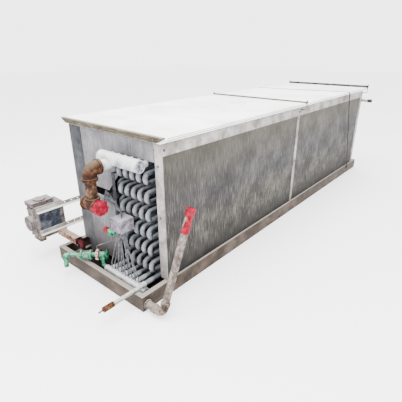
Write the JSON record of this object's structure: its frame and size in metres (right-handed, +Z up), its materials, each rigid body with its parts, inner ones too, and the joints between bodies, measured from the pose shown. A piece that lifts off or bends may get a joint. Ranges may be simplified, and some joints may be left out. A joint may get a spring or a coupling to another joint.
{
  "type": "bulk milk tank",
  "caption": "Long galvanised dairy milk-cooling tank over a sump pan, with serpentine coils and headers at its open end, lift-off lid, pump and swing drain pipe.",
  "frame": {"origin": "centre of the pan's underside, on the floor", "axes": "+Z up, +Y from the piping end to the back, +X to the right seen from the piping end"},
  "size_m": [1.686, 5.189, 1.393],
  "materials": {
    "base_steel": "worn taupe paint",
    "coil_steel": "galvanised, dull",
    "header_steel": "frosted pale grey",
    "galvanised_frame": "weathered galvanised",
    "galvanised_sheet": "streaked galvanised",
    "lid_sheet": "weathered pale",
    "lip_timber": "weathered",
    "rusty_iron": "rusted",
    "red_plastic": "matt",
    "green_enamel": "chipped paint",
    "drain_iron": "mottled galvanised",
    "purge_paint": "pale paint",
    "copper_brass": "tarnished",
    "motor_grey": "pale grey paint",
    "inlet_iron": "rust and cream paint",
    "shaft_steel": "turned",
    "hose_rubber": "dull",
    "webbing": "woven"
  },
  "bodies": {
    "root": {"base_channels": "base_steel", "box_bracket": "header_steel", "coil_bank": "coil_steel", "coil_supports": "coil_steel", "distributor_box": "header_steel", "drain_nipple": "drain_iron", "expansion_valve": "green_enamel", "feed_tubes": "header_steel", "frame_posts": "galvanised_frame", "front_panel_lower": "galvanised_sheet", "front_panel_upper": "galvanised_sheet", "front_strip": "galvanised_sheet", "hook_bolts": "galvanised_frame", "inlet_flange": "inlet_iron", "inlet_hose": "hose_rubber", "intake_strainer": "hose_rubber", "lid_strap": "webbing", "liquid_header": "header_steel", "liquid_line": "green_enamel", "motor_bearing_plate": "motor_grey", "motor_case": "motor_grey", "motor_end_bell": "motor_grey", "motor_foot": "motor_grey", "motor_terminal_box": "motor_grey", "pan_floor": "base_steel", "pilot_line": "green_enamel", "pump_inlet_tube": "inlet_iron", "pump_rails": "motor_grey", "purge_coupling": "copper_brass", "purge_pipe": "purge_paint", "rear_bar": "galvanised_frame", "rear_lid": "lid_sheet", "rear_panel": "galvanised_sheet", "rear_pipe_cap": "galvanised_frame", "rear_water_pipe": "galvanised_frame", "red_pipe_cover": "red_plastic", "seam_bar": "galvanised_frame", "sensor_tubes": "header_steel", "side_panels_left": "galvanised_sheet", "side_panels_right": "galvanised_sheet", "strainer_body": "green_enamel", "strainer_bolts": "green_enamel", "strap_anchors": "galvanised_frame", "suction_elbow": "rusty_iron", "suction_header": "header_steel", "suction_riser_pipes": "rusty_iron", "suction_tee": "rusty_iron", "top_rails": "galvanised_frame", "valve_body": "green_enamel", "valve_outlet_pipe": "green_enamel", "water_baffle": "galvanised_sheet"},
    "front_lid": {"front_lid": "lid_sheet", "front_lid_lip": "lip_timber"},
    "drain": {"drain_elbow": "drain_iron", "drain_swing_pipe": "drain_iron", "drain_pipe_cap": "red_plastic"},
    "handwheel": {"valve_handwheel": "green_enamel"},
    "expansion_cap": {"expansion_valve_cap": "red_plastic"},
    "rotor": {"motor_rotor": "shaft_steel"}
  },
  "joints": [
    {"name": "front_lid_lift", "type": "slide", "parent": "root", "child": "front_lid", "axis": [0, 0, 1], "range_m": [0, 0.35]},
    {"name": "drain_swing", "type": "hinge", "parent": "root", "child": "drain", "pos_m": [0.73, -2.385, 0.054], "axis": [1, 0, 0], "range_deg": [-60, 112]},
    {"name": "handwheel_turn", "type": "hinge", "parent": "root", "child": "handwheel", "pos_m": [-0.033, -2.28007, 0.2], "axis": [-0.7466, -0.6652, 0], "range_deg": [-90, 90]},
    {"name": "expansion_cap_turn", "type": "hinge", "parent": "root", "child": "expansion_cap", "pos_m": [0.096, -2.316, 0.5], "axis": [-1, 0, 0], "range_deg": [-180, 180]},
    {"name": "rotor_spin", "type": "hinge", "parent": "root", "child": "rotor", "pos_m": [-0.768, -2.593, 0.396], "axis": [0, 1, 0], "continuous": true}
  ]
}
